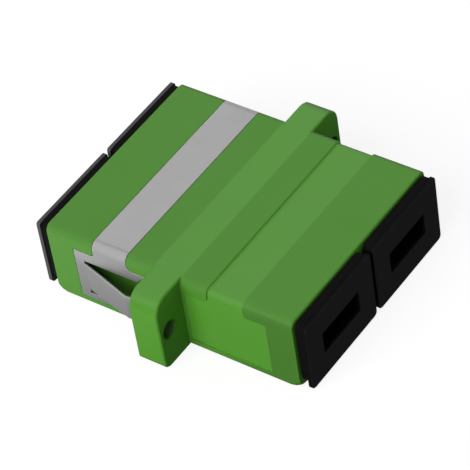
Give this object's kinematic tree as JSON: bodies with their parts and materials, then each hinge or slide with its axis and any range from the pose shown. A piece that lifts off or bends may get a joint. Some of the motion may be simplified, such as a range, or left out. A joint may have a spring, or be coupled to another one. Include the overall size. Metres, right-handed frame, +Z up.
{
  "type": "duplex sc fibre adapter",
  "caption": "Flanged fibre adapter with plug ports side by side at both ends, a folded spring clip for a panel, split sleeves inside and pull-off dust caps.",
  "frame": {"origin": "centre of the adapter, on the joint between its two half housings and level with the ports", "axes": "+X along the plugs towards the rear half, the one with no clip; +Y across the channels; +Z up, away from the keyways"},
  "size_m": [0.034, 0.034, 0.0094],
  "materials": {
    "green_housing": "satin moulded",
    "clip_steel": "dull cold rolled",
    "cap_plastic": "matt moulded",
    "holder_plastic": "plain moulded",
    "sleeve_ceramic": "ground zirconia"
  },
  "bodies": {
    "adapter": {"housing_front": "green_housing", "housing_rear": "green_housing", "panel_clip": "clip_steel", "alignment_sleeve_left": "sleeve_ceramic", "alignment_sleeve_right": "sleeve_ceramic", "latch_holder_front_left": "holder_plastic", "latch_holder_front_right": "holder_plastic", "latch_holder_rear_left": "holder_plastic", "latch_holder_rear_right": "holder_plastic"},
    "cap_front_left": {"dust_cap_front_left": "cap_plastic"},
    "cap_front_right": {"dust_cap_front_right": "cap_plastic"},
    "cap_rear_left": {"dust_cap_rear_left": "cap_plastic"},
    "cap_rear_right": {"dust_cap_rear_right": "cap_plastic"}
  },
  "joints": [
    {"name": "dust_cap_front_left_pull", "type": "slide", "parent": "adapter", "child": "cap_front_left", "axis": [-1, 0, 0], "range_m": [0, 0.01]},
    {"name": "dust_cap_front_right_pull", "type": "slide", "parent": "adapter", "child": "cap_front_right", "axis": [-1, 0, 0], "range_m": [0, 0.01]},
    {"name": "dust_cap_rear_left_pull", "type": "slide", "parent": "adapter", "child": "cap_rear_left", "axis": [1, 0, 0], "range_m": [0, 0.01]},
    {"name": "dust_cap_rear_right_pull", "type": "slide", "parent": "adapter", "child": "cap_rear_right", "axis": [1, 0, 0], "range_m": [0, 0.01]}
  ]
}
